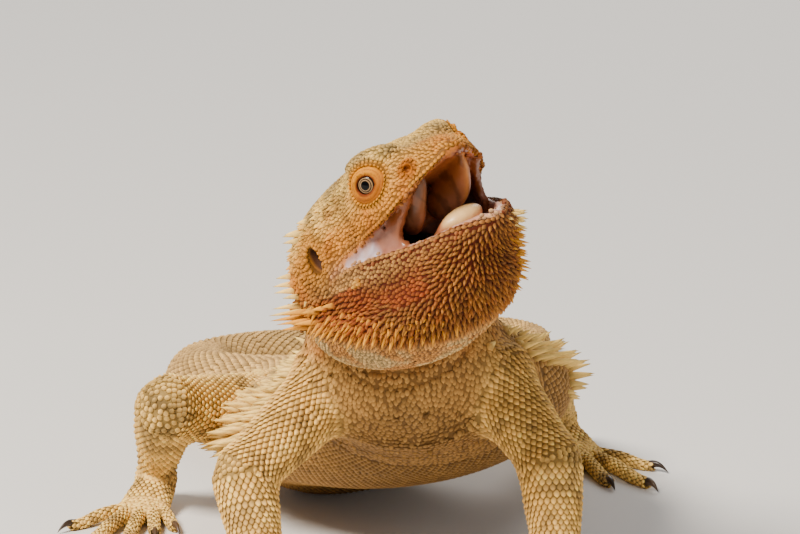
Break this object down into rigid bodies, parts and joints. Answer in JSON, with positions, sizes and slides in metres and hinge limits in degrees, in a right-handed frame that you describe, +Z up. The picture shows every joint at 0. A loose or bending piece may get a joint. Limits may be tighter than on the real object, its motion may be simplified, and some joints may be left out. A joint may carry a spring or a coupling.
{
  "type": "bearded dragon",
  "caption": "Life-size bearded dragon lizard, standing high on its forelegs with its head raised and turned, mouth open and throat pouch full, the belly and tail at rest on the ground.",
  "frame": {"origin": "on the ground, under the middle of the animal's box", "axes": "+Z up, the animal's chest faces -Y and its tail lies towards +Y, its right side is towards -X"},
  "size_m": [0.1366, 0.2698, 0.1071],
  "materials": {
    "hide": "matt, dry scales",
    "mouth": "moist",
    "eye": "wet, glossy",
    "claw": "horn, satin"
  },
  "bodies": {
    "root": {"head": "hide", "lower_jaw": "hide", "beard": "hide", "tongue": "mouth", "eye_right": "eye", "eye_left": "eye", "neck": "hide", "chest": "hide", "belly": "hide", "pelvis": "hide", "tail_1": "hide", "tail_2": "hide", "tail_3": "hide", "tail_4": "hide", "finger_claw_right_1": "claw", "finger_claw_right_2": "claw", "finger_claw_right_3": "claw", "finger_claw_right_4": "claw", "finger_claw_right_5": "claw", "upper_arm_right": "hide", "forearm_right": "hide", "hand_right": "hide", "finger_claw_left_1": "claw", "finger_claw_left_2": "claw", "finger_claw_left_3": "claw", "finger_claw_left_4": "claw", "finger_claw_left_5": "claw", "upper_arm_left": "hide", "forearm_left": "hide", "hand_left": "hide", "toe_claw_right_1": "claw", "toe_claw_right_2": "claw", "toe_claw_right_3": "claw", "toe_claw_right_4": "claw", "toe_claw_right_5": "claw", "thigh_right": "hide", "shank_right": "hide", "foot_right": "hide", "toe_claw_left_1": "claw", "toe_claw_left_2": "claw", "toe_claw_left_3": "claw", "toe_claw_left_4": "claw", "toe_claw_left_5": "claw", "thigh_left": "hide", "shank_left": "hide", "foot_left": "hide"}
  },
  "joints": []
}
